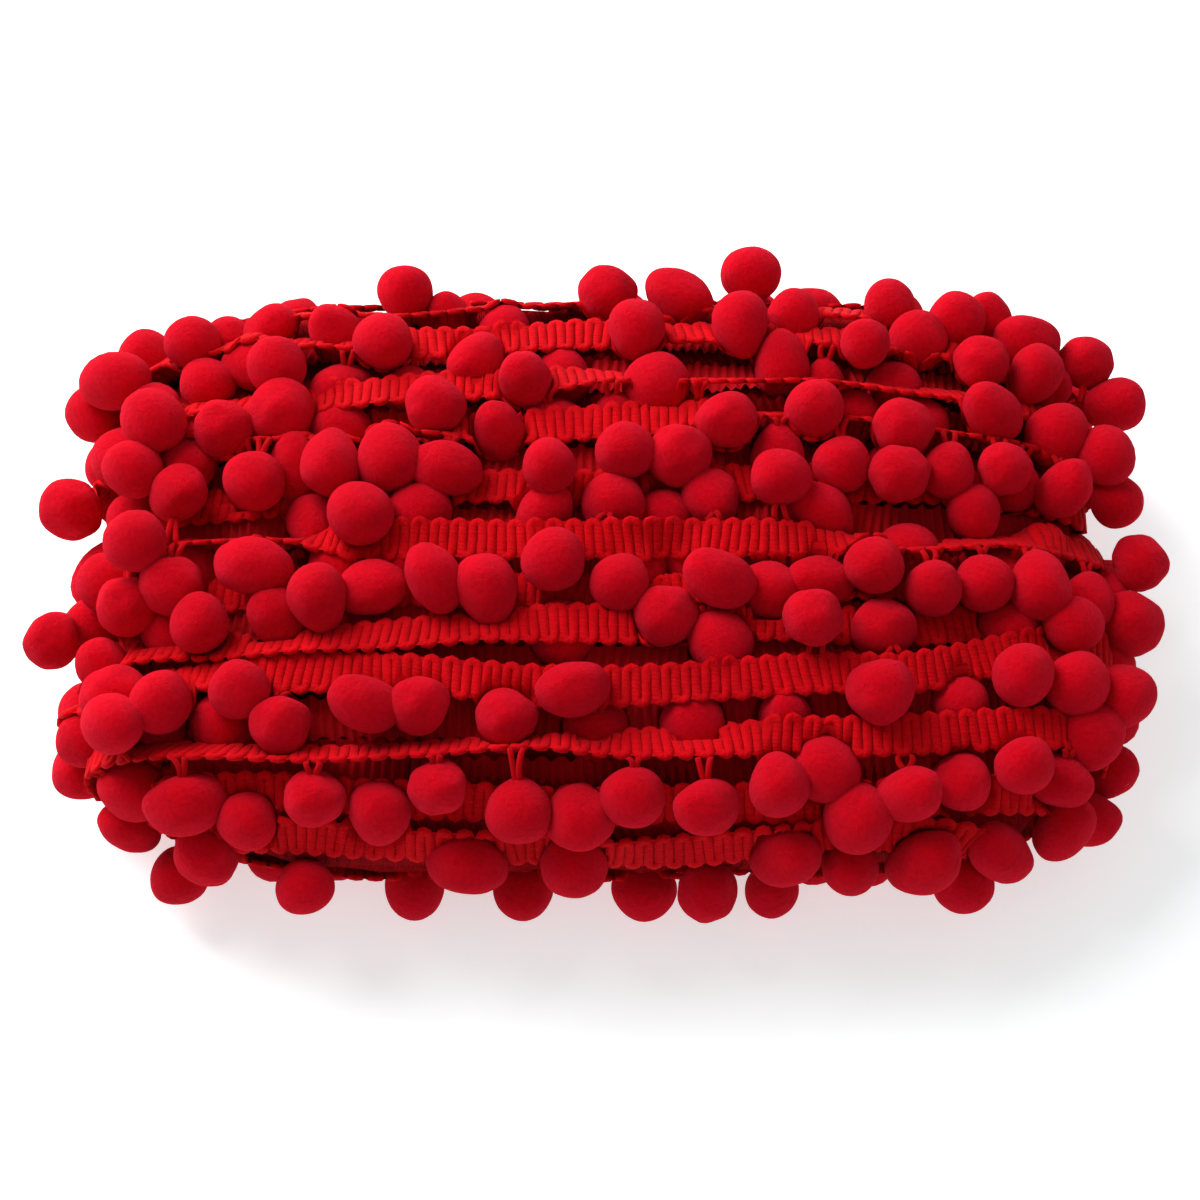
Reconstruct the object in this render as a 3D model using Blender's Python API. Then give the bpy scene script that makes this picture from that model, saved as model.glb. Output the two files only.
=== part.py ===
"""Pompom fringe trim wound lengthwise into a flat, lumpy hank.

The trim lies on its broad face: X runs along the turns, Y across them, +Z is up,
and the flat spot underneath is at Z = 0. The origin is the centre of the bottom.
"""
import math
import random

import bmesh
import bpy
import numpy
from mathutils import Euler, Matrix, Vector

mm = 0.001

# The hank: a flattened, rounded block of turns, measured to the tops of the braid.
half_length = 82.0 * mm
half_depth = 51.0 * mm
half_height = 21.0 * mm
centre_height = 19.0 * mm       # lower than half_height, so that the underside is pressed flat
plan_power = 4.5                # squareness of the outline seen from above
side_power = 2.4                # squareness of the sections across and along

# The braid and its pompoms.
braid_half_width = 3.2 * mm
valley_depth = 2.8 * mm         # how far the wound mass drops between two turns of braid
pompom_radius = 4.9 * mm
pompom_seat = 2.3 * mm          # height of a pompom's centre over the tops of the braid
seat_gap = 0.4 * mm
floor_clearance = 0.3 * mm      # the lowest pompoms stay this far off the ground
random_seed = 11

steps_round = 30                # points round one turn
search_steps = 30               # halvings when a point on the hank is looked for
girth_steps = 400               # pieces of the quarter section that the girth is added up from
slope_step = 0.05 * mm          # reach of the measure of the surface's slope
flank_girth = 59.5 * mm         # where the first and last loops of the skin lie
edge_share = 0.99               # how far out a pompom may be seated, by the outline
weld_distance = 0.05 * mm       # joins the crumbs that hollowing the seats leaves

braid_red = (0.62, 0.010, 0.022, 1.0)
pompom_red = (0.72, 0.012, 0.030, 1.0)

# One row for each turn of braid, from the near side to the far. girth_mm: its place round
# the hank, measured over the top from the middle line, at the five even stations of its run
# from the left end to the right. lean_mm: at the same stations, how much higher its far edge
# lies than its near edge, so that a change of sign is a twist. sunk_mm: how deep it lies
# under the turns beside it.
turns = [
    {"name": "near_side", "girth_mm": (-50.5, -54.5, -55.5, -55, -50.5),
     "lean_mm": (0, 0, 0, 0, 0), "sunk_mm": 0.6},
    {"name": "near_rim", "girth_mm": (-43, -46.5, -47, -46.5, -43),
     "lean_mm": (0, 1.0, 1.5, 1.0, 0), "sunk_mm": 0},
    {"name": "fringe_band", "girth_mm": (-35, -38.7, -38.6, -37.2, -34.2),
     "lean_mm": (1.5, 2.2, 0.8, 0.5, 0), "sunk_mm": 0},
    {"name": "wide_band", "girth_mm": (-25, -27, -28.4, -26.4, -19),
     "lean_mm": (0, -0.6, -0.4, 1.2, 1.6), "sunk_mm": 0},
    {"name": "slant_band", "girth_mm": (-17, -18.5, -18.6, -16.5, -12),
     "lean_mm": (-1.0, -1.4, 1.2, 1.8, 0), "sunk_mm": 0.4},
    {"name": "under_middle", "girth_mm": (-9, -10.5, -12, -10.3, -6),
     "lean_mm": (0, 0, 0, 0, 0), "sunk_mm": 1.6},
    {"name": "middle_twist", "girth_mm": (-1, -3.4, -5, -3.8, 0.5),
     "lean_mm": (1.5, -2.4, 1.8, 0.4, 2.0), "sunk_mm": 0},
    {"name": "upper_middle", "girth_mm": (8, 6.5, 6.5, 8, 11),
     "lean_mm": (0, 0, 0, 0, 0), "sunk_mm": 1.6},
    {"name": "short_band", "girth_mm": (16.5, 15, 17.8, 19.5, 20.5),
     "lean_mm": (2.0, -1.0, -1.2, 2.2, 0), "sunk_mm": 0.4},
    {"name": "high_band", "girth_mm": (25, 23.5, 27, 28.5, 29),
     "lean_mm": (0, -0.8, 1.6, 2.4, 1.0), "sunk_mm": 0},
    {"name": "far_lean", "girth_mm": (36, 34.5, 37.5, 38, 38.5),
     "lean_mm": (-1.0, -1.8, -0.6, 0.8, 0), "sunk_mm": 0},
    {"name": "far_rim", "girth_mm": (44.5, 43.5, 46.5, 46.5, 47),
     "lean_mm": (-1.0, -2.0, -2.4, -1.6, 0), "sunk_mm": 0},
    {"name": "far_side", "girth_mm": (53, 53, 55.5, 55, 54.5),
     "lean_mm": (0, 0, 0, 0, 0), "sunk_mm": 0.6},
]

# One row for each course of pompoms. across_mm: its line in Y at five such stations.
# along_mm: where its pompoms stand in X. zigzag_mm: how far every other one steps off the
# line. under: the course hangs on the lower half of the hank's side.
courses = [
    {"name": "far_edge", "across_mm": (32, 46.5, 46.5, 44, 37), "zigzag_mm": 0.0,
     "along_mm": (-67, -32.5, 1.2, 13, 48, 59, 71), "under": False},
    {"name": "far_shoulder", "across_mm": (25, 31, 37, 34, 25), "zigzag_mm": 1.5,
     "along_mm": (-52, -35, 6, 23, 43, 62), "under": False},
    {"name": "upper_face", "across_mm": (21, 17, 18, 17, 21), "zigzag_mm": 1.5,
     "along_mm": (-60, -26, 20, 34, 48), "under": False},
    {"name": "middle_face", "across_mm": (7, 8, 9, 6, 11), "zigzag_mm": 1.2,
     "along_mm": (-54, -42, -8, 4, 28, 64, -66.5), "under": False},
    {"name": "lower_face", "across_mm": (-8, -11, -11, -11, -7), "zigzag_mm": 1.5,
     "along_mm": (-66, -53, -25, -7, 18, 42, 68), "under": False},
    {"name": "near_shoulder", "across_mm": (-27, -31, -31, -29, -25), "zigzag_mm": 1.0,
     "along_mm": (-66, -54, -35, -4, 42, 64), "under": False},
    {"name": "near_edge", "across_mm": (-36, -44, -46, -43.5, -38), "zigzag_mm": 1.0,
     "along_mm": (-42.5, -24, -12, 5, 16, 26.5, 46, 63.5), "under": False},
    {"name": "near_foot", "across_mm": (-36, -49, -50, -49, -36), "zigzag_mm": 0.0,
     "along_mm": (-29, -12, 7, 27), "under": True},
]

# One row for each pompom that stands on its own, by its place in plan. out_mm: how much
# further than the others its stem lets it stand.
single_pompoms = [
    {"name": "far_high", "along_mm": 25.5, "across_mm": 52, "out_mm": 2.3},
    {"name": "left_far", "along_mm": -84, "across_mm": 28, "out_mm": 1.2},
    {"name": "left_stemmed", "along_mm": -88, "across_mm": 10, "out_mm": 2.5},
    {"name": "left_low", "along_mm": -88, "across_mm": -14.5, "out_mm": 3.0},
    {"name": "right_far", "along_mm": 86, "across_mm": 30, "out_mm": 3.0},
    {"name": "right_middle", "along_mm": 88, "across_mm": -0.3, "out_mm": 3.2},
    {"name": "right_low", "along_mm": 80.5, "across_mm": -25, "out_mm": 0.0},
]


def clear_scene():
    for item in list(bpy.data.objects):
        bpy.data.objects.remove(item, do_unlink=True)


def new_collection(name):
    collection = bpy.data.collections.new(name)
    bpy.context.scene.collection.children.link(collection)
    return collection


def felt_material(name, colour, roughness):
    material = bpy.data.materials.new(name)
    material.use_nodes = True
    shader = material.node_tree.nodes["Principled BSDF"]
    shader.inputs["Base Color"].default_value = colour
    shader.inputs["Roughness"].default_value = roughness
    shader.inputs["Metallic"].default_value = 0.0
    return material


def along_run(values, run):
    """Smooth value between the five stations; run goes from -1 at the left to 1."""
    spot = (min(max(run, -1.0), 1.0) + 1.0) / 2.0 * (len(values) - 1)
    left = min(int(spot), len(values) - 2)
    part = spot - left
    ease = part * part * (3.0 - 2.0 * part)
    return values[left] * (1.0 - ease) + values[left + 1] * ease


def hank_level(x, y, z, grow):
    """Below 1 inside the hank grown by this much, 1 on its surface, more outside."""
    in_plan = (abs(x) / (half_length + grow)) ** plan_power
    in_plan += (abs(y) / (half_depth + grow)) ** plan_power
    in_height = (abs(z) / (half_height + grow)) ** side_power
    return in_plan ** (side_power / plan_power) + in_height


def hank_normal(spot):
    """Outward direction at a point of the tops' surface."""
    height = spot.z - centre_height
    here = hank_level(spot.x, spot.y, height, 0.0)
    slope = Vector((hank_level(spot.x + slope_step, spot.y, height, 0.0) - here,
                    hank_level(spot.x, spot.y + slope_step, height, 0.0) - here,
                    hank_level(spot.x, spot.y, height + slope_step, 0.0) - here))
    return slope.normalized()


def quarter_section():
    """Length along the middle section from its top, and the place in Y reached there."""
    sweep = numpy.linspace(0.0, math.pi / 2.0, girth_steps)
    out = half_depth * numpy.sin(sweep) ** (2.0 / side_power)
    up = half_height * numpy.cos(sweep) ** (2.0 / side_power)
    pieces = numpy.hypot(numpy.diff(out), numpy.diff(up))
    return numpy.concatenate(([0.0], numpy.cumsum(pieces))), out


def point_on_turn(angle, across):
    """Where the loop in the plane Y = across meets the tops' surface at this angle."""
    reach_x = half_length * math.cos(angle)
    reach_z = half_height * math.sin(angle)
    low, high = 0.0, 1.0
    for _ in range(search_steps):
        middle = (low + high) / 2.0
        if hank_level(reach_x * middle, across, reach_z * middle, 0.0) < 1.0:
            low = middle
        else:
            high = middle
    return Vector((reach_x * low, across, centre_height + reach_z * low))


def round_turn(values, angle):
    """Value at this angle round a turn: by station over the top, straight underneath."""
    run = math.cos(angle)
    if math.sin(angle) >= 0.0:
        return along_run(values, run) * mm
    return (values[0] * (1.0 - run) + values[-1] * (1.0 + run)) / 2.0 * mm


def skin_rows():
    """Rows of the skin from the near side to the far: girth places and drops, by station."""
    flank = (flank_girth / mm,) * 5
    floor = (valley_depth / mm,) * 5
    half_width = braid_half_width / mm
    rows = [(tuple(-place for place in flank), floor)]
    for number, turn in enumerate(turns):
        if number:
            before = turns[number - 1]["girth_mm"]
            rows.append((tuple((a + b) / 2.0 for a, b in zip(before, turn["girth_mm"])), floor))
        for side in (-1.0, 1.0):
            places = tuple(place + side * half_width for place in turn["girth_mm"])
            drops = tuple(turn["sunk_mm"] + max(0.0, -side * lean) for lean in turn["lean_mm"])
            rows.append((places, drops))
    rows.append((flank, floor))
    return rows


def close_flank(mesh, loop):
    """Closes an end loop with upright strips between its upper and its lower run."""
    for step in range(steps_round // 2):
        above = [loop[step], loop[step + 1]]
        below = [loop[-step - 1], loop[-step]]
        strip = above + [corner for corner in below if corner not in above]
        mesh.faces.new(strip)


def make_body(collection):
    """The wound mass: a skin lofted from row to row of braid edges and valleys."""
    girths, depths = quarter_section()
    mesh = bmesh.new()
    loops = []
    for places, drops in skin_rows():
        loop = []
        for step in range(steps_round):
            angle = 2.0 * math.pi * step / steps_round
            girth = round_turn(places, angle)
            across = math.copysign(numpy.interp(abs(girth), girths, depths), girth)
            top = point_on_turn(angle, across)
            spot = top - hank_normal(top) * round_turn(drops, angle)
            spot.z = max(spot.z, 0.0)
            loop.append(mesh.verts.new(spot))
        loops.append(loop)
    for first, second in zip(loops, loops[1:]):
        for step in range(steps_round):
            after = (step + 1) % steps_round
            mesh.faces.new((first[step], first[after], second[after], second[step]))
    close_flank(mesh, loops[0])
    close_flank(mesh, loops[-1])
    bmesh.ops.recalc_face_normals(mesh, faces=mesh.faces)
    data = bpy.data.meshes.new("wound_body")
    mesh.to_mesh(data)
    mesh.free()
    body = bpy.data.objects.new("wound_body", data)
    collection.objects.link(body)
    return body


def seat_point(x, y, under, out):
    """Centre of a pompom seated on the hank at this place in plan, or standing out from it."""
    grow = pompom_seat + out
    reach = ((abs(x) / (half_length + grow)) ** plan_power
             + (abs(y) / (half_depth + grow)) ** plan_power) ** (1.0 / plan_power)
    if reach > edge_share:
        x, y, reach = x * edge_share / reach, y * edge_share / reach, edge_share
    rise = (half_height + grow) * (1.0 - reach ** side_power) ** (1.0 / side_power)
    height = centre_height - rise if under else centre_height + rise
    return Vector((x, y, max(height, pompom_radius + floor_clearance)))


def add_ball(name, collection, material, matrix, grow):
    mesh = bmesh.new()
    bmesh.ops.create_icosphere(mesh, subdivisions=2, radius=pompom_radius + grow)
    bmesh.ops.transform(mesh, matrix=matrix, verts=mesh.verts)
    data = bpy.data.meshes.new(name)
    mesh.to_mesh(data)
    mesh.free()
    data.materials.append(material)
    data.shade_smooth()
    ball = bpy.data.objects.new(name, data)
    collection.objects.link(ball)
    return ball


def pompom_places():
    places = []
    for course in courses:
        for number, along in enumerate(course["along_mm"]):
            step = course["zigzag_mm"] * (1.0 if number % 2 else -1.0)
            across = along_run(course["across_mm"], along * mm / half_length) + step
            places.append((along * mm, across * mm, course["under"], 0.0))
    for row in single_pompoms:
        places.append((row["along_mm"] * mm, row["across_mm"] * mm, False, row["out_mm"] * mm))
    return places


def make_pompoms(collection, cutters, material):
    """Each pompom, and the slightly larger shape that hollows its seat in the wound mass."""
    dice = random.Random(random_seed)
    for number, (x, y, under, out) in enumerate(pompom_places(), start=1):
        squash = Vector((dice.uniform(0.94, 1.10), dice.uniform(0.90, 1.0), dice.uniform(0.90, 1.0)))
        turned = Euler((dice.uniform(-0.5, 0.5), dice.uniform(-0.5, 0.5), dice.uniform(0.0, math.pi)))
        matrix = Matrix.LocRotScale(seat_point(x, y, under, out), turned, squash)
        add_ball(f"pompom_{number:02d}", collection, material, matrix, 0.0)
        seat = add_ball(f"seat_{number:02d}", cutters, material, matrix, seat_gap)
        seat.hide_render = True
        seat.display_type = "WIRE"


def hollow_seats(body, cutters):
    cut = body.modifiers.new("seats", "BOOLEAN")
    cut.operation = "DIFFERENCE"
    cut.solver = "EXACT"
    cut.operand_type = "COLLECTION"
    cut.collection = cutters
    weld = body.modifiers.new("crumbs", "WELD")
    weld.merge_threshold = weld_distance


def centre_on_footprint(collection, cutters):
    """Moves everything so that the origin is the centre of the trim's own footprint."""
    spots = [item.matrix_world @ vertex.co for item in collection.objects
             for vertex in item.data.vertices]
    middle = Vector(((min(spot.x for spot in spots) + max(spot.x for spot in spots)) / 2.0,
                     (min(spot.y for spot in spots) + max(spot.y for spot in spots)) / 2.0,
                     0.0))
    for item in list(collection.objects) + list(cutters.objects):
        item.location -= middle


def main():
    clear_scene()
    trim = new_collection("pompom_fringe_trim")
    cutters = new_collection("seat_cutters")
    body = make_body(trim)
    body.data.materials.append(felt_material("red_braid", braid_red, 0.85))
    make_pompoms(trim, cutters, felt_material("red_pompom_yarn", pompom_red, 0.95))
    hollow_seats(body, cutters)
    centre_on_footprint(trim, cutters)


main()
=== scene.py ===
import math
import random

import bpy
import numpy as np
from mathutils import Matrix, Vector


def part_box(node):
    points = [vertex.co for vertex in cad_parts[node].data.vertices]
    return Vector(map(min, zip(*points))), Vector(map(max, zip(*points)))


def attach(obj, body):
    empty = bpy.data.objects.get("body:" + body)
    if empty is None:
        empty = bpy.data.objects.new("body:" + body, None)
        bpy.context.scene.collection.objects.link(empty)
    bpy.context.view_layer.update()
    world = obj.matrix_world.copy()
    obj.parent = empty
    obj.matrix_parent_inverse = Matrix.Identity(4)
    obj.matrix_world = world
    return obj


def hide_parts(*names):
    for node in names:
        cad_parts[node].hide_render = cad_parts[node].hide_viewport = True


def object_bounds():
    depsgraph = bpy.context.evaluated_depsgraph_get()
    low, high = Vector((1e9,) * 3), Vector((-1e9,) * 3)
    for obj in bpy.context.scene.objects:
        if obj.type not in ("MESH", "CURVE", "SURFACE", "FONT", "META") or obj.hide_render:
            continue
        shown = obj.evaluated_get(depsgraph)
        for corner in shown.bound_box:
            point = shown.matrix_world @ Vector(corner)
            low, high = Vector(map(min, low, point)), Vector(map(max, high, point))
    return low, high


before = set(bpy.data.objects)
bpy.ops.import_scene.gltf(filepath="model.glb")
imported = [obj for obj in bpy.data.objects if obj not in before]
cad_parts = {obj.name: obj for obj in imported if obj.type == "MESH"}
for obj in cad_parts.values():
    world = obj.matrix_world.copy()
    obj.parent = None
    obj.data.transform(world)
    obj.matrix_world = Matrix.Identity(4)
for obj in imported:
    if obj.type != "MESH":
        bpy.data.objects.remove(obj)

cadLow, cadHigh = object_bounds()
mm = 0.001
woundLow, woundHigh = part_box("wound_body")
body = "root"

# The hank, measured to the tops of the braid, with the same shape as its solid.
hank = {
    "halfLength": 82.0 * mm,
    "halfDepth": 51.0 * mm,
    "halfHeight": 21.0 * mm,
    "centreHeight": 19.0 * mm,
    "planPower": 4.5,
    "sidePower": 2.4,
    "middle": ((woundLow.x + woundHigh.x) / 2, (woundLow.y + woundHigh.y) / 2),
    "sectionSteps": 400,
    "halvings": 30,
    "slopeStep": 0.05 * mm,
}

# The braid: one cord laid to and fro over a thin strip, so that its turns make looped edges.
braid = {
    "halfWidth": 3.5 * mm,
    "ribPitch": 1.5 * mm,
    "loopRadius": 0.75 * mm,
    "cordHalfWide": 0.73 * mm,
    "cordHalfThick": 0.42 * mm,
    "cordSquareness": 0.38,
    "cordSides": 8,
    "stripHalfWidth": 2.9 * mm,
    "stripColumns": 5,
    "stripHeight": 0.10 * mm,  # over the middle of the cord
    "trimWidth": 21.0 * mm,  # with its stems and pompoms
    "startsAt": -0.30,  # in turns from the first left end, so the cut end lies underneath
    "endsShort": 0.20,
    "stepsATurn": 720,
    "floorGap": 0.7 * mm,
    "leanWander": 5.0,  # degrees
    "leanWave": 31.0 * mm,
    "riseWander": 0.35 * mm,
    "riseWave": 23.0 * mm,
    "girthWander": 0.9 * mm,
    "girthWave": 75.0 * mm,
    "turnLength": 375.0 * mm,  # roughly, for the waves
    "slantWander": 0.16,
    "slantWave": 47.0 * mm,
    "leanLift": 0.30,  # share of the raised edge that lifts the middle
    "flatFrom": -0.55,  # slope outwards where the lean starts to be pressed flat underneath
    "flatOver": 0.3,
    "flatLeast": 0.15,
    "unevenness": 0.06,
    "slack": 0.04 * mm,
    "lowest": 0.02 * mm,
    "seed": 3,
}

# Three slow sines make each uneven wave.
waves = {"shares": (0.55, 0.3, 0.25), "stretch": (0.45, 1.9), "start": (0, 6.28)}

# The layer under the outer turns.
innerBraid = {"sunkMm": 4.3, "leanDeg": 14, "stepsARib": 4, "columns": 7, "ribHeight": 0.42 * mm,
              "loopReach": 0.4 * mm, "seed": 31}

# One row for each turn, from the near side to the far. girthMm: its place round the hank from
# the middle line over the top, at five even stations from the left end to the right. leanDeg:
# how far the far edge is turned up, by place along the hank in mm. sunkMm: depth under its
# neighbours. fringe: the edge that carries the pompoms, -1 near or 1 far.
turns = [
    {"name": "nearSide", "girthMm": (-50.5, -54.5, -55.5, -55, -50.5), "sunkMm": 0.6,
     "leanDeg": {-82: 0, 82: 0}, "fringe": -1},
    {"name": "nearRim", "girthMm": (-43, -46.5, -47, -46.5, -43), "sunkMm": 1.5,
     "leanDeg": {-82: 0, -60: 12, 0: 15, 60: 10, 82: 0}, "fringe": -1},
    {"name": "fringeBand", "girthMm": (-35, -38.5, -37.9, -35.8, -32), "sunkMm": 0.0,
     "leanDeg": {-82: -20, -66: -66, -20: -72, 2: -52, 20: -35, 40: -12, 56: 0, 82: 0}, "fringe": -1},
    {"name": "wideBand", "girthMm": (-25, -26.8, -28.0, -26.8, -16), "sunkMm": 0.0,
     "leanDeg": {-82: -45, -62: -30, -46: -4, 40: 2, 60: 8, 82: 10}, "fringe": -1},
    {"name": "slantBand", "girthMm": (-18.5, -20.3, -19.4, -16.5, -12), "sunkMm": (0.8, 0.7, 0.2, 2.6, 2.6),
     "leanDeg": {-82: -20, -60: -35, -20: -25, 0: 6, 16: 8, 40: 0, 82: 0}, "fringe": 1},
    {"name": "underMiddle", "girthMm": (-9, -10.5, -12, -10.3, -6), "sunkMm": 2.6,
     "leanDeg": {-82: 0, -40: 10, 30: -12, 82: 0}, "fringe": -1},
    {"name": "middleTwist", "girthMm": (-1, -3.4, -5.0, -3.8, 0.5), "sunkMm": 0.0,
     "leanDeg": {-82: -10, -68: -58, -48: -62, -36: 35, -22: 16, -2: 8, 8: 54, 16: 10, 33: 2,
                 40: -46, 60: -52, 82: -20},
     "fringe": -1},
    {"name": "upperMiddle", "girthMm": (8, 6.5, 6.5, 8, 11), "sunkMm": 2.6,
     "leanDeg": {-82: 0, -30: -12, 30: 10, 82: 0}, "fringe": -1},
    {"name": "shortBand", "girthMm": (16.5, 15, 17.6, 18.3, 18), "sunkMm": 0.4,
     "leanDeg": {-82: -40, -60: -58, -30: -60, -16: 2, 8: 6, 22: -50, 60: -58, 82: -30},
     "fringe": -1},
    {"name": "highBand", "girthMm": (25, 23.5, 25.2, 25.2, 24.5), "sunkMm": 0.0,
     "leanDeg": {-82: -20, -60: -38, -44: -6, -12: -4, 4: -38, 30: -50, 82: -25}, "fringe": -1},
    {"name": "farLean", "girthMm": (36, 34.5, 37, 36, 32.5), "sunkMm": 0.0,
     "leanDeg": {-82: -20, -50: -30, -34: 6, -2: 10, 18: -8, 82: -10}, "fringe": -1},
    {"name": "farRim", "girthMm": (44.5, 43.5, 46.5, 45, 39), "sunkMm": 0.0,
     "leanDeg": {-82: 0, -60: -22, 60: -18, 82: 0}, "fringe": 1},
    {"name": "farSide", "girthMm": (53, 53, 55.5, 55, 54.5), "sunkMm": 0.6,
     "leanDeg": {-82: 0, 82: 0}, "fringe": 1},
]

# The balls. Those that show best stand for their solids; the rest are placed here.
pompom = {
    "radius": 4.9 * mm,
    "edgeShare": 0.99,
    "spacing": 11.4 * mm,
    "reachFromMiddle": 9.6 * mm,  # from the middle of the braid to the ball's centre
    "floorGap": 0.2 * mm,
    "size": (0.88, 1.06),
    "growth": (0.94, 1.07),
    "deepest": -4.5 * mm,  # under the tops of the braid
    "seed": 7,
    "pressGap": 0.35 * mm,
    "besideGap": 1.0 * mm,
    "overFrom": 3.0 * mm,
    "tufts": (0.36, 0.02),  # size and depth, in radii
    "fineCuts": 4,
    "plainCuts": 3,
    "plainLumps": 0.5,  # the less shown ones have shallower lumps
}

# How the balls push each other apart.
easing = {
    "rounds": 60,
    "closest": 0.88,  # of the two radii together
    "crowded": 0.62,  # nearer than this, the later one is left out
    "pushShare": 0.45,
    "homePull": 0.04,
    "stepMm": 0.3,
    "floorShare": 0.97,
    "insideEndsMm": 0.3,
    "pastSolids": 2.5 * mm,  # how far the free ones may stand past them across the hank
    "innerTop": -4.6 * mm,
}

# Balls set along the trim itself: round the ends, and on the layer below.
slots = {
    "start": 4.0 * mm,
    "unevenSpacing": (0.85, 1.15),
    "size": (0.88, 1.04),
    "liftMm": (-0.4, 1.6),
    "overTop": (0.10, 0.40),  # shares of a turn, where the courses place them instead
    "underside": -0.9,  # slope outwards where the flat underside is pressed shut
    "longSide": 70 * mm,
    "closer": 1 * mm,
    "furthestOut": 1.0 * mm,  # past the tops of the braid, in plan
    "outer": {"course": "roundEnds", "room": 7.2 * mm, "side": 44 * mm, "deepest": -1.0 * mm},
    "inner": {"course": "innerTurns", "room": 7.6 * mm, "side": 40 * mm, "deepest": -5.6 * mm},
}

# More balls that show between the solids', by course, in mm: place along and across, then how
# far the centre stands over the tops of the braid.
moreCourses = {
    "skyline": ((-57, 40, -1.5), (36, 50, -1), (66, 42, 0.5), (80.5, 36.5, 4), (-76, 39, 1), (25, 49, -3),
        (74, 33, 0)),
    "farShoulder": ((-66, 34, 1), (-20, 31, -1), (52, 37, 0), (72, 31, 1), (-43, 38, -1), (32, 42, 0)),
    "upperFace": ((-51, 22, 1), (-12, 25, 1), (63, 21, 2), (-73, 24, 1), (9, 25, -1), (74, 20, 1),
        (-60, 40, -2)),
    "middleFace": ((-33, 10, 1.5), (-24, 8, 0.5), (12, 10, 1), (47, 8, 1.5), (55, 10, 0.5), (74, 9, 2),
        (-66, 11, 0), (-37, -1, 3), (-16, 16, -1), (38, 10, -0.5)),
    "lowerFace": ((-61, -17, 1), (-43, -15, 1.5), (-17, -14, 1), (3, -12, 0.5), (32, -19, 3), (51, -12, 1),
        (60, -10, 0), (-74, -11, 1), (-35, -12, -1), (10, -17, -1)),
    "nearShoulder": ((-48, -34, 1), (-27, -32, 1.5), (14, -32, -4), (-74, -27, 1), (28, -31.5, -4),
        (73, -26, 1), (-14, -33, -0.5)),
    "nearEdge": ((-62, -44, 1), (-3, -47, 1), (-33, -46, 0), (39, -46, 0.5), (-53, -46, -0.5)),
}

# The turns that show on top, in mm: from and to along the hank, and the room they keep. Balls
# fill what lies between them.
shownTurns = [
    ("fringeBand", -82, 72, 5.4), ("wideBand", -82, 72, 6.4), ("slantBand", -64, 10, 4.6),
    ("middleTwist", -76, 78, 6.0), ("shortBand", -78, -36, 4.4), ("shortBand", -10, 60, 5.2),
    ("highBand", -60, 60, 5.6), ("farLean", -50, 24, 5.8), ("farRim", -66, 70, 4.2),
]
fill = {"stepMm": 3.0, "alongMm": 77, "nearMm": -41, "farMm": 46, "riseMm": (-3.0, -0.6), "spreadMm": 1.4,
        "room": 7.9 * mm, "size": (0.84, 1.06), "overTop": (0.02, 0.48), "seed": 31}

# Balls low on the two long sides and round the two ends, with the height of the centre.
lowPompoms = {
    "nearFoot": ((-65, -46, 9), (-60, -48, 19), (-45, -53, 18), (16.5, -55, 15), (38, -51, 21),
        (49, -51, 23), (61, -48, 20), (-4, -51, 22), (-20, -51, 22), (72, -43, 18), (28, -50, 23),
        (56, -49, 12)),
    "farFoot": ((-62, 48, 10), (-52.5, 51.5, 16), (-41, 52, 8), (-29, 53, 10), (-21.5, 51.5, 17),
        (-8, 53, 9), (4, 54, 15), (16, 53, 8), (27, 55, 14), (40, 53, 9), (52, 54, 14), (63, 49, 9)),
    "leftEnd": ((-79, 24, 12), (-77, -7, 29), (-83, -7, 10), (-80, -30, 22), (-82, -24, 8), (-82, -30, 12),
        (-73, -42, 15), (-77, 16, 29), (-81, 36, 12), (-76, 42, 14), (-83, 27, 9), (-83, -20, 6)),
    "rightEnd": ((84, 12, 24), (78, 19, 13), (71, -13, 33), (84, -10.5, 23), (75, -31, 27), (80, -31.5, 14),
        (75, -40, 14), (80, 36, 13), (76, 43, 12), (83, 3, 8), (79, -22, 8)),
}

# Balls tucked under the two long sides.
tucked = {"course": "tucked", "fromMm": -62, "toMm": 62, "stepMm": 10.5, "acrossMm": 44.5, "heightMm": 9.0,
          "spreadMm": (2, 1, 2), "size": (0.88, 1.0), "deepest": -3.2 * mm}


def hankLevel(x, y, z, grow=0.0):
    inPlan = (np.abs(x) / (hank["halfLength"] + grow)) ** hank["planPower"]
    inPlan = inPlan + (np.abs(y) / (hank["halfDepth"] + grow)) ** hank["planPower"]
    inHeight = (np.abs(z) / (hank["halfHeight"] + grow)) ** hank["sidePower"]
    return inPlan ** (hank["sidePower"] / hank["planPower"]) + inHeight  # 1 on the tops


def unit(rows):
    return rows / np.maximum(np.linalg.norm(rows, axis=-1, keepdims=True), 1e-12)


def hankOut(spots):
    x, y, z = spots.T
    step = hank["slopeStep"]
    here = hankLevel(x, y, z)
    return unit(np.stack((hankLevel(x + step, y, z) - here, hankLevel(x, y + step, z) - here,
                          hankLevel(x, y, z + step) - here), axis=-1))


def acrossFromGirth(girth):
    sweep = np.linspace(0.0, math.pi / 2, hank["sectionSteps"])
    out = hank["halfDepth"] * np.sin(sweep) ** (2 / hank["sidePower"])
    up = hank["halfHeight"] * np.cos(sweep) ** (2 / hank["sidePower"])
    length = np.concatenate(([0.0], np.cumsum(np.hypot(np.diff(out), np.diff(up)))))
    return np.copysign(np.interp(np.abs(girth), length, out), girth)


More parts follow.
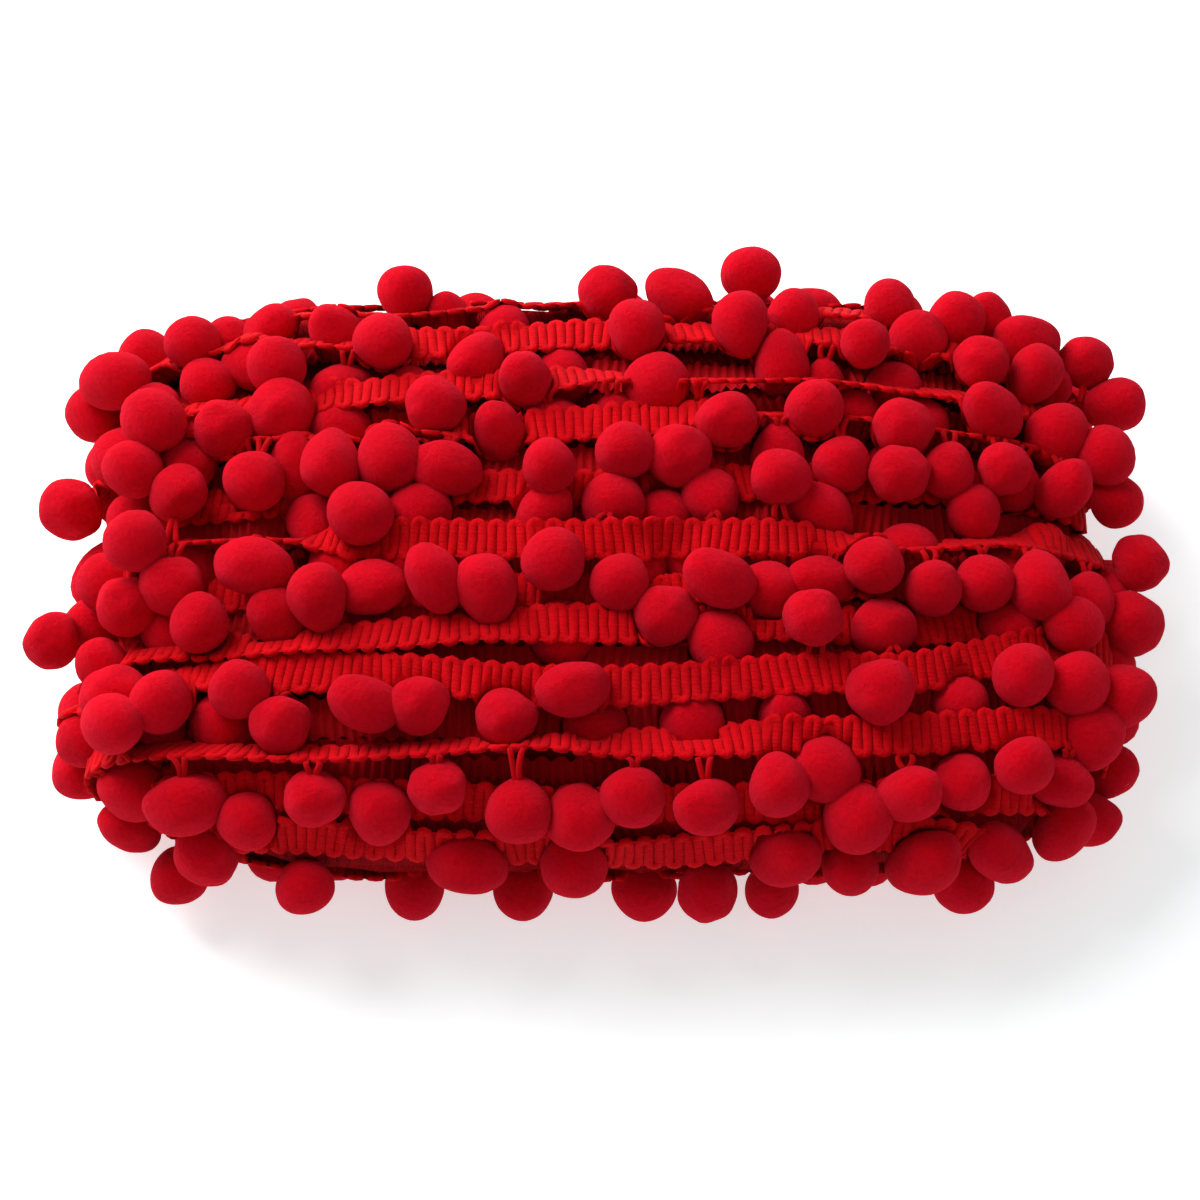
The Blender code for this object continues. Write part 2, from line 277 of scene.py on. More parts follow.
def topsPoint(run, over, across):
    reachX = hank["halfLength"] * run
    reachZ = hank["halfHeight"] * np.sqrt(np.maximum(1 - run * run, 0.0)) * over
    low, high = np.zeros_like(run), np.ones_like(run)
    for _ in range(hank["halvings"]):
        half = (low + high) / 2
        inside = hankLevel(reachX * half, across, reachZ * half) < 1
        low, high = np.where(inside, half, low), np.where(inside, high, half)
    return np.stack((reachX * low, across, reachZ * low), axis=-1)


def eased(values, left, part):
    ease = part * part * (3 - 2 * part)
    return values[left] * (1 - ease) + values[left + 1] * ease


def byStation(values, run):
    values = np.array(values, float)
    spot = (run + 1) / 2 * (len(values) - 1)
    left = np.clip(spot.astype(int), 0, len(values) - 2)
    return eased(values, left, spot - left)


def byPlace(table, places):
    at, values = np.array(list(table), float), np.array(list(table.values()), float)
    left = np.clip(np.searchsorted(at, places) - 1, 0, len(at) - 2)
    return eased(values, left, np.clip((places - at[left]) / (at[left + 1] - at[left]), 0, 1))


def wander(length, wave, seed):
    dice = random.Random(seed)
    total = np.zeros_like(length)
    for share in waves["shares"]:
        stretch = dice.uniform(*waves["stretch"])
        total += share * np.sin(length * 2 * math.pi / (wave * stretch) + dice.uniform(*waves["start"]))
    return total


def runLength(spots):
    steps = np.linalg.norm(np.diff(spots, axis=0), axis=1)
    return np.concatenate(([0.0], np.cumsum(steps)))


def woundRoute(name, turns, seed):
    wound = np.arange(braid["startsAt"], len(turns) - braid["endsShort"], 1 / braid["stepsATurn"])
    number = np.floor(wound).astype(int)
    part = wound - number
    run = -np.cos(2 * math.pi * part)
    over = np.where(part < 0.5, 1.0, -1.0)
    girth, lean, sunk = (np.zeros_like(wound) for _ in range(3))
    reach = hank["halfLength"] / mm
    for k in range(number.min(), len(turns)):
        here = number == k
        turn, after = turns[max(k, 0)], turns[min(k + 1, len(turns) - 1)]
        shift = (1 - run[here]) / 2
        above = over[here] > 0
        tilt = list(turn["leanDeg"].values())[-1], list(after["leanDeg"].values())[0]
        under = turn["girthMm"][-1] * (1 - shift) + after["girthMm"][0] * shift
        girth[here] = np.where(above, byStation(turn["girthMm"], run[here]), under) * mm
        under = (tilt[0] * (1 - shift) + tilt[1] * shift) * np.abs(run[here]) ** 2
        lean[here] = np.where(above, byPlace(turn["leanDeg"], run[here] * reach), under)
        depths, nextDepths = (row["sunkMm"] if isinstance(row["sunkMm"], tuple)
                              else (row["sunkMm"],) * len(row["girthMm"]) for row in (turn, after))
        under = depths[-1] * (1 - shift) + nextDepths[0] * shift
        sunk[here] = np.where(above, byStation(depths, run[here]), under) * mm
    girth += braid["girthWander"] * wander(wound * braid["turnLength"], braid["girthWave"], seed + 4)
    spots = topsPoint(run, over, acrossFromGirth(girth))
    out = hankOut(spots)
    rough = runLength(spots)
    free = np.clip((out[:, 2] - braid["flatFrom"]) / braid["flatOver"], braid["flatLeast"], 1)
    lean = np.radians(lean + braid["leanWander"] * wander(rough, braid["leanWave"], seed)) * free
    rise = np.abs(np.sin(lean)) * braid["halfWidth"] * braid["leanLift"] - sunk
    rise += braid["riseWander"] * wander(rough, braid["riseWave"], seed + 2)
    spots = spots + out * rise[:, None] + np.array((*hank["middle"], hank["centreHeight"]))
    spots[:, 2] = np.maximum(spots[:, 2], braid["floorGap"])
    along = unit(np.gradient(spots, axis=0))
    across = unit(np.cross(out, along))
    out = np.cross(along, across)
    leaned = across * np.cos(lean)[:, None] + out * np.sin(lean)[:, None]
    length = runLength(spots)
    return {"name": name, "length": length, "spot": spots, "along": along, "across": leaned,
            "out": np.cross(along, leaned), "wound": wound, "lean": lean, "sunk": sunk,
            "slant": braid["slantWander"] * wander(length, braid["slantWave"], seed + 6)}


def betweenTurns():
    rows = []
    for before, after in zip(turns, turns[1:]):
        girth = tuple((a + b) / 2 for a, b in zip(before["girthMm"], after["girthMm"]))
        tilt = innerBraid["leanDeg"] * (-1 if len(rows) % 2 else 1)
        rows.append({"girthMm": girth, "sunkMm": innerBraid["sunkMm"], "fringe": before["fringe"],
                     "leanDeg": {-82: 0, -41: tilt, 0: -tilt, 41: tilt, 82: 0}})
    return rows


def atLength(route, length, name):
    values = route[name]
    if values.ndim == 1:
        return np.interp(length, route["length"], values)
    return np.stack([np.interp(length, route["length"], values[:, axis]) for axis in range(3)], axis=-1)


def seatSpot(x, y, grow):
    length, depth = hank["halfLength"] + grow, hank["halfDepth"] + grow
    power = hank["planPower"]
    share = ((abs(x) / length) ** power + (abs(y) / depth) ** power) ** (1 / power)
    if share > pompom["edgeShare"]:
        x, y, share = (value * pompom["edgeShare"] / share for value in (x, y, share))
    rise = (hank["halfHeight"] + grow) * (1 - share ** hank["sidePower"]) ** (1 / hank["sidePower"])
    return x, y, hank["centreHeight"] + rise


def newBall(spot, radius, course, fine, deepest, node=None):
    return {"node": node, "spot": spot, "radius": radius, "course": course, "fine": fine,
            "deepest": deepest}


def gatherPompoms():
    dice = random.Random(pompom["seed"])
    balls = []
    for node in sorted(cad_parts):
        if node.startswith("pompom"):
            low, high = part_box(node)
            half = (high - low) / 2
            radius = (half.x + half.y + half.z) / 3
            balls.append(newBall((low + high) / 2, radius, "solids", True, 0.0, node))
    midX, midY = hank["middle"]
    for course, places in (moreCourses | lowPompoms).items():
        for place in places:
            radius = pompom["radius"] * dice.uniform(*pompom["size"])
            x, y, z = (value * mm for value in place)
            if course in moreCourses:
                x, y, z = seatSpot(x, y, z)
            spot = Vector((x + midX, y + midY, z))
            balls.append(newBall(spot, radius, course, True, pompom["deepest"]))
    for side in (-1, 1):
        for x in np.arange(tucked["fromMm"], tucked["toMm"], tucked["stepMm"]):
            shiftX, shiftY, shiftZ = (dice.uniform(-spread, spread) for spread in tucked["spreadMm"])
            across = side * (tucked["acrossMm"] + shiftY)
            spot = Vector((x + shiftX, across, tucked["heightMm"] + shiftZ)) * mm
            radius = pompom["radius"] * dice.uniform(*tucked["size"])
            balls.append(newBall(spot, radius, tucked["course"], False, tucked["deepest"]))
    balls += fillPompoms(balls)
    balls += slotPompoms(balls, dice, outerRoute, turns, slots["outer"])
    balls += slotPompoms(balls, dice, innerRoute, innerRows, slots["inner"])
    return balls


def shownLines():
    lines = []
    first, last = fill["overTop"]
    places = outerRoute["spot"][:, 0] / mm
    for name, left, right, room in shownTurns:
        part = outerRoute["wound"] - [turn["name"] for turn in turns].index(name)
        here = (part > first) & (part < last) & (places > left) & (places < right)
        lines.append((outerRoute["spot"][here], room * mm))
    return lines


def besideShown(spot, lines, closer):
    return any(len(line) and np.linalg.norm(line - np.array(spot), axis=1).min() < room - closer
               for line, room in lines)


def fillPompoms(known):
    dice = random.Random(fill["seed"])
    lines = shownLines()
    across, along = (np.arange(low, high, fill["stepMm"]) for low, high in
                     ((fill["nearMm"], fill["farMm"]), (-fill["alongMm"], fill["alongMm"])))
    places = [(x, y) for x in along for y in across]
    dice.shuffle(places)
    placed, found = [ball["spot"] for ball in known], []
    spread = fill["spreadMm"]
    for place in places:
        x, y = ((value + dice.uniform(-spread, spread)) * mm for value in place)
        spot = Vector(seatSpot(x, y, dice.uniform(*fill["riseMm"]) * mm))
        spot += Vector((*hank["middle"], 0))
        radius = pompom["radius"] * dice.uniform(*fill["size"])
        if besideShown(spot, lines, 0.0):
            continue
        if min((spot - other).length for other in placed) > fill["room"]:
            placed.append(spot)
            found.append(newBall(spot, radius, "between", True, pompom["deepest"]))
    return found


def slotPompoms(known, dice, route, rows, layer):
    placed, found = [ball["spot"] for ball in known], []
    lines = shownLines()
    outer = layer is slots["outer"]
    low, high = slots["overTop"]
    length = slots["start"]
    while length < route["length"][-1]:
        length += pompom["spacing"] * dice.uniform(*slots["unevenSpacing"])
        wound = float(atLength(route, length, "wound"))
        turn = rows[min(max(int(math.floor(wound)), 0), len(rows) - 1)]
        part = wound - math.floor(wound)
        radius = pompom["radius"] * dice.uniform(*slots["size"])
        lift = dice.uniform(*slots["liftMm"]) * mm
        if outer and low < part < high:
            continue
        spot, across, out = (Vector(atLength(route, length, name)) for name in ("spot", "across", "out"))
        spot = spot + across * turn["fringe"] * pompom["reachFromMiddle"] + out * lift
        if out.z < slots["underside"] or (abs(spot.y) > layer["side"] and abs(spot.x) < slots["longSide"]):
            continue  # the long sides have their own courses
        spot.z = max(spot.z, radius + pompom["floorGap"])
        fromMiddle = np.array([spot.x - hank["middle"][0], spot.y - hank["middle"][1], 0.0])
        if hankLevel(*fromMiddle, slots["furthestOut"]) > 1:
            continue
        if outer and besideShown(spot, lines, slots["closer"]):
            continue
        if min((spot - other).length for other in placed) > layer["room"]:
            placed.append(spot)
            found.append(newBall(spot, radius, layer["course"], False, layer["deepest"]))
    return found


def easeApart(balls):
    spots = np.array([ball["spot"] for ball in balls])
    radii = np.array([ball["radius"] for ball in balls])
    free = np.array([not ball["node"] for ball in balls])
    deepest = np.array([ball["deepest"] for ball in balls])
    inner = np.array([ball["course"] == slots["inner"]["course"] for ball in balls])
    limit = cadHigh + Vector((-easing["insideEndsMm"] * mm, easing["pastSolids"], 0.0))
    home = spots.copy()
    middle = np.array((*hank["middle"], hank["centreHeight"]))
    together = radii[:, None] + radii[None, :]
    room = easing["closest"] * together
    for _ in range(easing["rounds"]):
        gaps = spots[:, None, :] - spots[None, :, :]
        apart = np.linalg.norm(gaps, axis=2) + np.eye(len(balls))
        push = np.clip(room - apart, 0, None) * (1 - np.eye(len(balls)))
        step = (gaps / apart[:, :, None] * push[:, :, None]).sum(axis=1) * easing["pushShare"]
        spots[free] += step[free] + (home[free] - spots[free]) * easing["homePull"]
        level = hankLevel(*(spots - middle).T, deepest)
        sunken = free & (level < 1)
        spots[sunken] += hankOut(spots[sunken] - middle) * easing["stepMm"] * mm
        proud = inner & (hankLevel(*(spots - middle).T, easing["innerTop"]) > 1)
        spots[proud] -= hankOut(spots[proud] - middle) * easing["stepMm"] * mm
        lowest = np.array((-limit.x, -limit.y, 0)) + radii[:, None]
        lowest[:, 2] = radii * easing["floorShare"] + pompom["floorGap"]
        highest = np.array((limit.x, limit.y, 1)) - radii[:, None]
        spots[free] = np.clip(spots, lowest, highest)[free]
    gaps = np.linalg.norm(spots[:, None, :] - spots[None, :, :], axis=2) + np.eye(len(balls))
    kept = []
    for i, ball in enumerate(balls):
        crowded = any(gaps[i, j] < easing["crowded"] * together[i, j] for j in kept)
        if ball["node"] or not crowded:
            ball["spot"] = Vector(spots[i])
            kept.append(i)
    return [balls[i] for i in kept]


def chooseSides(route):
    number = np.floor(route["wound"]).astype(int)
    for ball in balls:  # each turn passes wholly over or wholly under a ball
        away = route["spot"] - np.array(ball["spot"])
        near = np.linalg.norm(away, axis=1)
        sides = {}
        for turn in np.unique(number[near < ball["radius"] + braid["halfWidth"] + pompom["besideGap"]]):
            nearest = np.flatnonzero(number == turn)[near[number == turn].argmin()]
            height = (away[nearest] * route["out"][nearest]).sum()
            sides[int(turn)] = bool(height > pompom["overFrom"] * math.cos(route["lean"][nearest]))
        ball.setdefault("over", {})[route["name"]] = sides


def pressed(spots, out, number, routeName):
    for ball in balls:  # the braid gives way round each ball
        centre = np.array(ball["spot"])
        reach = ball["radius"] + pompom["pressGap"]
        near = np.flatnonzero(((spots - centre) ** 2).sum(axis=1) < reach ** 2)
        if not len(near):
            continue
        away = spots[near] - centre
        height = (away * out[near]).sum(axis=1)
        aside = np.maximum((away ** 2).sum(axis=1) - height ** 2, 0)
        bow = np.sqrt(np.maximum(reach ** 2 - aside, 0))
        over = np.array([ball["over"][routeName].get(int(turn), False) for turn in number[near]])
        spots[near] += out[near] * (np.where(over, bow, -bow) - height)[:, None]
    return spots


def onBraid(route, length, aside, height):
    shape = length.shape
    length, aside, height = (value.ravel() for value in (length, aside, height))
    length = length + aside * atLength(route, length, "slant")
    middles, out = atLength(route, length, "spot"), atLength(route, length, "out")
    number = np.floor(atLength(route, length, "wound")).astype(int)
    spots = middles + atLength(route, length, "across") * aside[:, None]
    spots = pressed(spots, out, number, route["name"]) + out * height[:, None]
    spots[:, 2] = np.maximum(spots[:, 2], braid["lowest"])
    return spots.reshape(*shape, 3)


def addObject(name, data):
    thing = bpy.data.objects.new(name, data)
    bpy.context.scene.collection.objects.link(thing)
    return thing


def meshPiece(name, spots, faces, mapName, corners):
    data = bpy.data.meshes.new(name)
    data.from_pydata(spots.tolist(), [], faces)
    data.uv_layers.new(name=mapName).data.foreach_set("uv", np.array(corners, np.float32).ravel())
    data.shade_smooth()
    return addObject(name, data)


def squared(wave):
    return np.sign(wave) * np.abs(wave) ** braid["cordSquareness"]


def addTube(faces, corners, base, places, sides):
    last = base + (len(places) - 1) * sides
    for i in range(len(places) - 1):
        here, there = base + i * sides, base + (i + 1) * sides
        for j in range(sides):
            after = (j + 1) % sides
            faces.append((here + j, here + after, there + after, there + j))
            corners.extend(((places[i], j / sides), (places[i], (j + 1) / sides),
                            (places[i + 1], (j + 1) / sides), (places[i + 1], j / sides)))
    faces.append(tuple(base + j for j in range(sides - 1, -1, -1)))
    faces.append(tuple(last + j for j in range(sides)))
    corners.extend([(0.0, 0.0)] * (2 * sides))


def braidCord(name, route, firstRib, lastRib):
    pitch, loop, sides = braid["ribPitch"], braid["loopRadius"], braid["cordSides"]
    straight = braid["halfWidth"] - loop - braid["cordHalfWide"]
    ribLength = 2 * straight + math.pi * loop
    ribs = np.arange(firstRib, lastRib)
    way = np.where(ribs % 2, -1.0, 1.0)[:, None]
    start = ribs[:, None] * pitch
    flat = np.array((-1.0, 0.0, 1.0))[None, :] * straight  # three spots along a rib
    bend = np.radians((45.0, 90.0, 135.0))[None, :]  # and three round the loop after it
    ones = np.ones((len(ribs), 3))
    length = np.concatenate((start * ones, start + loop - loop * np.cos(bend)), axis=1).ravel()
    aside = np.concatenate((way * flat, way * (straight + loop * np.sin(bend))), axis=1).ravel()
    goLength = np.concatenate((0 * ones, np.sin(bend) * ones), axis=1).ravel()
    goAside = np.concatenate((way * ones, way * np.cos(bend)), axis=1).ravel()
    dice = np.random.default_rng(firstRib)
    size = 1 + braid["unevenness"] * dice.uniform(-1, 1, length.shape)
    length = length + dice.normal(0, braid["slack"], length.shape)
    ring = np.arange(sides) * 2 * math.pi / sides
    wide = (braid["cordHalfWide"] * size)[:, None] * squared(np.cos(ring))
    thick = (braid["cordHalfThick"] * size)[:, None] * squared(np.sin(ring))
    length = length[:, None] - goAside[:, None] * wide
    aside = aside[:, None] + goLength[:, None] * wide
    spots = onBraid(route, length, aside, thick)
    along = np.concatenate((np.array((0, 1, 2)) * straight,
                            2 * straight + np.array((0.25, 0.5, 0.75)) * math.pi * loop)) / ribLength
    places = ((ribs - firstRib)[:, None] + along[None, :]).ravel()
    faces, corners = [], []
    addTube(faces, corners, 0, places, sides)
    return meshPiece(name, spots.reshape(-1, 3), faces, "cordRun", corners)


def stripSheet(name, spots):
    steps, columns = spots.shape[:2]
    faces, corners = [], []
    for i in range(steps - 1):
        here, there = i * columns, (i + 1) * columns
        for j in range(columns - 1):
            faces.append((here + j, there + j, there + j + 1, here + j + 1))
            corners += ((i, j), (i + 1, j), (i + 1, j + 1), (i, j + 1))
    return meshPiece(name, spots.reshape(-1, 3), faces, "stripRun", corners)


def innerBraidSheet(route):
    pitch = braid["ribPitch"]
    length = np.arange(0, route["length"][-1], pitch / innerBraid["stepsARib"])
    share = np.linspace(-1, 1, innerBraid["columns"])
    grid = np.meshgrid(length, share, indexing="ij")
    wave = np.cos(2 * math.pi * grid[0] / pitch)
    loops = np.cos(math.pi * grid[0] / pitch) * np.sign(grid[1]) * innerBraid["loopReach"]
    atEdge = np.abs(grid[1]) == 1
    aside = grid[1] * (braid["halfWidth"] - innerBraid["loopReach"]) + loops * atEdge
    return stripSheet("innerBraid", onBraid(route, grid[0], aside, innerBraid["ribHeight"] * wave))


def braidStrip(route):
    length = np.arange(0, route["length"][-1], braid["ribPitch"])
    aside = np.linspace(-1, 1, braid["stripColumns"]) * braid["stripHalfWidth"]
    grid = np.meshgrid(length, aside, indexing="ij")
    height = np.full_like(grid[0], braid["stripHeight"])
    return stripSheet("braidStrip", onBraid(route, *grid, height))


def choose(pieces):
    bpy.ops.object.select_all(action="DESELECT")
    for piece in pieces:
        piece.select_set(True)
    bpy.context.view_layer.objects.active = pieces[0]


def applyAll(piece):
    choose([piece])
    for modifier in list(piece.modifiers):
        bpy.ops.object.modifier_apply(modifier=modifier.name)


def pompomMaster(shape, fineness):
    bpy.ops.mesh.primitive_ico_sphere_add(subdivisions=fineness, radius=1.0)
    ball = bpy.context.object
    ball.name = f"pompomMaster_{shape['name']}_{fineness}"
    lumpSize, lumpDepth = shape["lumps"]
    if fineness == pompom["plainCuts"]:
        lumpDepth *= pompom["plainLumps"]
    for title, size, depth in (("lumps", lumpSize, lumpDepth), ("tufts", *pompom["tufts"])):
        clouds = bpy.data.textures.new(f"{title}_{shape['name']}", "CLOUDS")
        clouds.noise_basis, clouds.noise_scale, clouds.noise_depth = "IMPROVED_PERLIN", size, 0
        swell = ball.modifiers.new(title, "DISPLACE")
        swell.texture, swell.strength, swell.mid_level = clouds, depth, 0.5
        swell.texture_coords = "LOCAL"
    if shape["taper"]:
        taper = ball.modifiers.new("taper", "SIMPLE_DEFORM")
        taper.deform_method, taper.factor, taper.deform_axis = "TAPER", shape["taper"], "Z"
    applyAll(ball)
    ball.data.transform(Matrix.Diagonal((*shape["squash"], 1.0)))
    ball.data.shade_smooth()
    return ball


pompomShapes = [
    {"name": "round", "share": 4, "lumps": (1.1, 0.16), "taper": 0.0, "squash": (1.04, 1.0, 0.96)},
    {"name": "oval", "share": 3, "lumps": (0.9, 0.20), "taper": 0.0, "squash": (1.28, 0.92, 0.92)},
    {"name": "drop", "share": 1.6, "lumps": (1.0, 0.16), "taper": -0.42, "squash": (0.92, 0.92, 1.16)},
    {"name": "egg", "share": 3, "lumps": (1.3, 0.22), "taper": -0.22, "squash": (1.02, 0.94, 1.04)},
    {"name": "lumpy", "share": 3, "lumps": (0.8, 0.26), "taper": 0.0, "squash": (1.0, 1.06, 0.94)},
]


def makePompoms():
    dice = random.Random(pompom["seed"] + 1)
    masters = {(shape["name"], fine): pompomMaster(shape, pompom["fineCuts" if fine else "plainCuts"])
               for shape in pompomShapes for fine in (True, False)}
    groups = {}
    for ball in balls:
        shape = dice.choices(pompomShapes, [row["share"] for row in pompomShapes])[0]
        master = masters[shape["name"], ball["fine"]]
        copy = addObject(master.name, master.data.copy())
        toStem = (ball["stem"] - ball["spot"]).normalized()
        spin = Matrix.Rotation(dice.uniform(0, 2 * math.pi), 4, "Z")
        turned = toStem.to_track_quat("Z", "Y").to_matrix().to_4x4()
        size = ball["radius"] * dice.uniform(*pompom["growth"])
        copy.data.transform(Matrix.Translation(ball["spot"]) @ turned @ spin @ Matrix.Scale(size, 4))
        for vertex in copy.data.vertices:
            vertex.co.z = max(vertex.co.z, pompom["floorGap"] / 4)  # pressed on the floor
        if ball["node"]:
            copy.name = copy.data.name = "ball_" + ball["node"].split("_")[1]
            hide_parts(ball["node"])
            groups[copy.name] = [copy]
        else:
            groups.setdefault(ball["course"], []).append(copy)
    for master in masters.values():
        bpy.data.objects.remove(master)
    made = []
    for name, copies in groups.items():
        if len(copies) > 1:
            choose(copies)
            bpy.ops.object.join()
            copies[0].name = copies[0].data.name = f"balls_{name}"
        made.append(copies[0])
    return made


# Two threads from the braid's edge into each ball.
stem = {
    "threadRadius": 0.5 * mm,
    "sides": 6,
    "pieces": 5,
    "apart": 0.62 * mm,
    "apartOnBraid": 1.6,
    "apartInBallMm": 0.25,
    "insideEdge": 0.4 * mm,
    "insideBall": 0.8,  # share of the radius
    "shortest": 1.12,  # in radii, because a nearer edge needs no stem
    "longest": 6.0 * mm,
    "riseMm": (0.1, 0.9),
    "swayMm": (-0.5, 0.5),
    "turnFrom": (0.3, 0.2, 1),
    "otherEdge": 3.0 * mm,  # these three put off edges that shouldn't carry a stem
    "innerEdge": 10.0 * mm,
    "sunkShare": 4.0,
    "seed": 21,
}


def findStems():
    reach = braid["halfWidth"] - stem["insideEdge"]
    routes = (outerRoute, innerRoute)
    edges = np.concatenate([route["spot"] + route["across"] * side * reach
                            for route in routes for side in (-1, 1)])
    along = np.concatenate([route["along"] for route in routes for side in (-1, 1)])
    fringe = np.array([turn["fringe"] for turn in turns])
    fringe = fringe[np.clip(np.floor(outerRoute["wound"]).astype(int), 0, len(turns) - 1)]
    outerShift = [(fringe != side) * stem["otherEdge"] + stem["sunkShare"] * outerRoute["sunk"]
                  for side in (-1, 1)]
    innerShift = [np.full(len(innerRoute["wound"]), stem["innerEdge"])] * 2
    further = np.concatenate(outerShift + innerShift)
    for ball in balls:
        near = int((np.linalg.norm(edges - np.array(ball["spot"]), axis=1) + further).argmin())
        ball["stem"], ball["stemAlong"] = Vector(edges[near]), Vector(along[near])


def makeStems():
    sides, pieces = stem["sides"], stem["pieces"]
    spots, faces, corners = [], [], []
    dice = random.Random(stem["seed"])
    for ball in balls:
        radius, aside = ball["radius"], ball["stemAlong"]
        toBall = ball["spot"] - ball["stem"]
        if not stem["shortest"] * radius < toBall.length < radius + stem["longest"]:
            continue
        for side in (-1, 1):
            first = ball["stem"] + aside * side * stem["apart"] * stem["apartOnBraid"]
            last = ball["spot"] - toBall.normalized() * radius * stem["insideBall"]
            last = last + aside * side * stem["apartInBallMm"] * mm
            sag = Vector((0, 0, 1)) * dice.uniform(*stem["riseMm"]) * mm
            sag = sag + aside * dice.uniform(*stem["swayMm"]) * mm
            go = (last - first).normalized()
            right = go.cross(Vector(stem["turnFrom"])).normalized()
            up = go.cross(right)
            base = len(spots)
            for i in range(pieces + 1):
                part = i / pieces
                centre = first.lerp(last, part) + sag * math.sin(math.pi * part)
                for j in range(sides):
                    turn = 2 * math.pi * j / sides
                    outward = right * math.cos(turn) - up * math.sin(turn)
                    spots.append(centre + outward * stem["threadRadius"])
            addTube(faces, corners, base, range(pieces + 1), sides)
    return meshPiece("pompomStems", np.array([tuple(spot) for spot in spots]), faces, "cordRun", corners)


# The wound mass under both layers.
core = {
    "depth": 5.8 * mm,
    "flankDepth": 2.3 * mm,
    "flankFrom": 40.0 * mm,
    "flankTo": 50.0 * mm,
    "rows": 80,
    "columns": 160,
    "girthEnd": 59.0 * mm,
    "turnPitch": 8.7 * mm,
    "ribPitch": 1.6 * mm,
    "ridge": 0.9 * mm,
    "ridgeSway": 0.9,
    "ridgeWave": 60 * mm,
    "lumpMm": 0.8,
    "lumpWaves": (13 * mm, 11 * mm),
    "lowest": 0.9 * mm,
    "seeds": (2, 4, 6),
}


def innerTurns():
    rows, columns = core["rows"], core["columns"]
    girth = np.linspace(-core["girthEnd"], core["girthEnd"], rows)
    angle = np.linspace(math.pi, -math.pi, columns + 1)[:-1]
    girth, angle = (values.ravel() for values in np.meshgrid(girth, angle, indexing="ij"))
    tops = topsPoint(np.cos(angle), np.where(np.sin(angle) >= 0, 1.0, -1.0), acrossFromGirth(girth))
    out = hankOut(tops)
    swaySeed, alongSeed, acrossSeed = core["seeds"]
    sway = core["ridgeSway"] * wander(tops[:, 0], core["ridgeWave"], swaySeed)
    ridge = np.abs(np.sin(math.pi * girth / core["turnPitch"] + sway))
    alongWave, acrossWave = core["lumpWaves"]
    lump = wander(tops[:, 0], alongWave, alongSeed) * wander(girth, acrossWave, acrossSeed)
    flank = np.interp(np.abs(girth), (core["flankFrom"], core["flankTo"]), (0, 1))
    depth = core["depth"] + (core["flankDepth"] - core["depth"]) * flank
    spots = tops - out * (depth - core["ridge"] * ridge - core["lumpMm"] * mm * lump)[:, None]
    spots += np.array((*hank["middle"], hank["centreHeight"]))
    spots[:, 2] = np.maximum(spots[:, 2], core["lowest"])
    faces = []
    for i in range(rows - 1):
        here, there = i * columns, (i + 1) * columns
        for j in range(columns):
            after = (j + 1) % columns
            faces.append((here + j, here + after, there + after, there + j))
    for start, turn in ((0, 1), ((rows - 1) * columns, -1)):
        for j in range(columns // 2):
            strip = (start + j, start + (columns - j) % columns, start + columns - j - 1, start + j + 1)
            faces.append(tuple(dict.fromkeys(strip))[::turn])
    corners = [(spots[corner][0] / core["ribPitch"], girth[corner] / core["turnPitch"])
               for face in faces for corner in face]
    return meshPiece("innerTurns", spots, faces, "coreRun", corners)


def newGroup(name, inputs, outputs):
    group = bpy.data.node_groups.new(name, "ShaderNodeTree")
    for way, sockets in (("INPUT", inputs), ("OUTPUT", outputs)):
        for title, kind in sockets.items():
            group.interface.new_socket(name=title, in_out=way, socket_type=f"NodeSocket{kind}")
    return group, addNode(group, "NodeGroupInput").outputs, addNode(group, "NodeGroupOutput").inputs


def addNode(tree, kind, settings=None, **inputs):
    node = tree.nodes.new(kind)
    for key, value in (settings or {}).items():
        setattr(node, key, value)
    for key, value in inputs.items():
        socket = node.inputs[int(key[1:])] if key[0] == "i" and key[1:].isdigit() else node.inputs[key]
        if isinstance(value, bpy.types.NodeSocket):
            tree.links.new(value, socket)
        else:
            socket.default_value = value
    return node


def mathNode(tree, operation, *values):
    inputs = {f"i{place}": value for place, value in enumerate(values)}
    return addNode(tree, "ShaderNodeMath", {"operation": operation}, **inputs).outputs[0]


def mixNode(tree, blend, share, first, second):
    settings = {"data_type": "RGBA", "blend_type": blend}
    return addNode(tree, "ShaderNodeMix", settings, i0=share, i6=first, i7=second).outputs[2]


def rangeNode(tree, value, ends):
    low, high = ends
    return addNode(tree, "ShaderNodeMapRange", {"clamp": True}, i0=value, i1=low, i2=high).outputs[0]


def makeDyeGroup():
    group, start, end = newGroup("unevenDye", {"Vector": "Vector", "Light": "Color", "Deep": "Color",
                                               "Scale": "Float"}, {"Color": "Color"})
    cloud = addNode(group, "ShaderNodeTexNoise", Vector=start["Vector"], Scale=start["Scale"],
                    Detail=yarnLooks["dyeDetail"], Roughness=yarnLooks["dyeRoughness"])
    spread = rangeNode(group, cloud.outputs["Fac"], yarnLooks["dyeRange"])
    group.links.new(mixNode(group, "MIX", spread, start["Deep"], start["Light"]), end["Color"])
    return group


